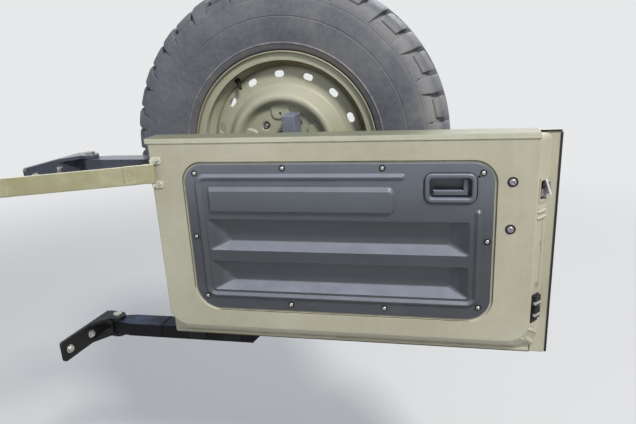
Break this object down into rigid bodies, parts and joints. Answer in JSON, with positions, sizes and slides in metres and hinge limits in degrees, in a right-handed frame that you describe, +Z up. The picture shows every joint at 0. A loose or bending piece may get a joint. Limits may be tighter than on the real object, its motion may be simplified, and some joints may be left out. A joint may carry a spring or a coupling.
{
  "type": "vehicle rear door with spare wheel",
  "caption": "Side-hinged pressed steel rear door of a light utility vehicle, open on its check strap, carrying a spare wheel on black swing arms.",
  "frame": {"origin": "middle of the upper hinge bracket's two bolt holes, on its seat against the body", "axes": "+X along the open door from its hinge side to its free edge, +Y from its inner face to its outer face, +Z up"},
  "size_m": [1.2202, 0.437, 0.8801],
  "materials": {
    "olive_paint": "satin, dusty",
    "wheel_paint": "satin, dusty",
    "black_paint": "semi-gloss",
    "black_plastic": "fine grain, satin",
    "black_rubber": "matt",
    "tyre_rubber": "matt, dusty",
    "zinc_steel": "worn zinc plate",
    "webbing": "woven cotton webbing"
  },
  "bodies": {
    "body_side": {"upper_bracket": "black_paint", "lower_bracket": "black_paint", "upper_pin": "zinc_steel", "lower_pin": "zinc_steel", "strap_anchor": "olive_paint", "check_strap": "webbing"},
    "door": {"outer_skin": "olive_paint", "inner_panel": "olive_paint", "top_capping": "olive_paint", "edge_seal": "black_rubber", "trim_panel": "black_plastic", "handle_cup": "black_plastic", "release_lever": "black_plastic", "latch_plate": "olive_paint", "latch_case": "zinc_steel", "latch_tongue": "zinc_steel", "guide_block": "black_paint", "guide_dowel_1": "zinc_steel", "guide_dowel_2": "zinc_steel", "upper_arm": "black_paint", "lower_arm": "black_paint", "carrier_brace": "black_paint", "carrier_post": "black_paint", "carrier_hub": "black_paint", "arm_pad_1": "black_rubber", "arm_pad_2": "black_rubber", "arm_pad_3": "black_rubber", "lower_tab_1": "black_paint", "lower_tab_2": "black_paint", "rim_barrel": "wheel_paint", "wheel_disc": "wheel_paint", "tyre": "tyre_rubber", "valve_stem": "black_rubber", "clamp_plate": "black_paint", "clamp_nut": "zinc_steel", "strap_loop": "olive_paint"}
  },
  "joints": [
    {"name": "door_hinge", "type": "hinge", "parent": "body_side", "child": "door", "pos_m": [0.06046, 0.09249, -0.21725], "axis": [0, 0, 1], "range_deg": [-98, 0], "deforming": ["check_strap"]}
  ]
}
